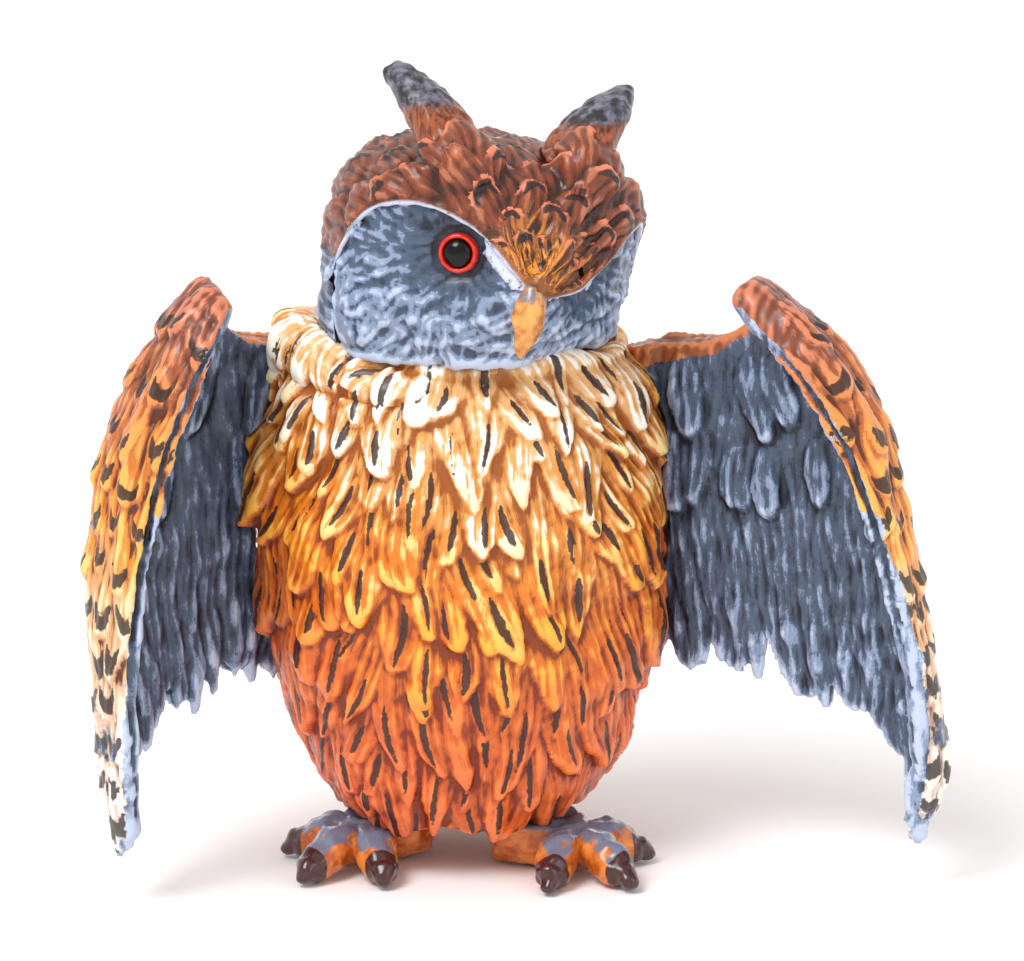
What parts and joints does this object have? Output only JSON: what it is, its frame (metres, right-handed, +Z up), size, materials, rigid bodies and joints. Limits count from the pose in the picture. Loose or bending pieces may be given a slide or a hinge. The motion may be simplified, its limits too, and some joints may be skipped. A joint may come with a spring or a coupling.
{
  "type": "owl figurine",
  "caption": "Standing eagle-owl figurine with wings held out, layered feather relief, ear tufts, glass eyes and clawed feet.",
  "frame": {"origin": "middle of the overall width and depth, on the surface that the owl stands on", "axes": "+Z up, the owl's body faces -Y, +X towards the owl's own left wing"},
  "size_m": [0.1256, 0.0568, 0.1236],
  "materials": {
    "ochre_enamel": "gloss, hand-brushed in cream, gold and orange with dark strokes",
    "russet_enamel": "gloss, hand-brushed red-brown with dark bars",
    "slate_enamel": "gloss, hand-brushed slate blue with pale dry-brushed highlights",
    "horn_enamel": "gloss, hand-brushed",
    "red_enamel": "high gloss",
    "black_glass": "polished",
    "brass": "machined"
  },
  "bodies": {
    "root": {"back_shell": "russet_enamel", "beak": "horn_enamel", "breast_shell": "ochre_enamel", "crown_shell": "russet_enamel", "face_mask": "slate_enamel", "left_ear_tuft": "russet_enamel", "left_eye_glass": "black_glass", "left_foot": "ochre_enamel", "left_iris_ring": "red_enamel", "left_leg_nut": "brass", "left_leg_stud": "brass", "left_tuft_pin": "brass", "left_wing": "slate_enamel", "left_wing_screw_lower": "brass", "left_wing_screw_upper": "brass", "neck_nut": "brass", "neck_stud": "brass", "neck_washer": "brass", "right_ear_tuft": "russet_enamel", "right_eye_glass": "black_glass", "right_foot": "ochre_enamel", "right_iris_ring": "red_enamel", "right_leg_nut": "brass", "right_leg_stud": "brass", "right_tuft_pin": "brass", "right_wing": "slate_enamel", "right_wing_screw_lower": "brass", "right_wing_screw_upper": "brass", "tail": "russet_enamel", "tail_screw": "brass"}
  },
  "joints": []
}
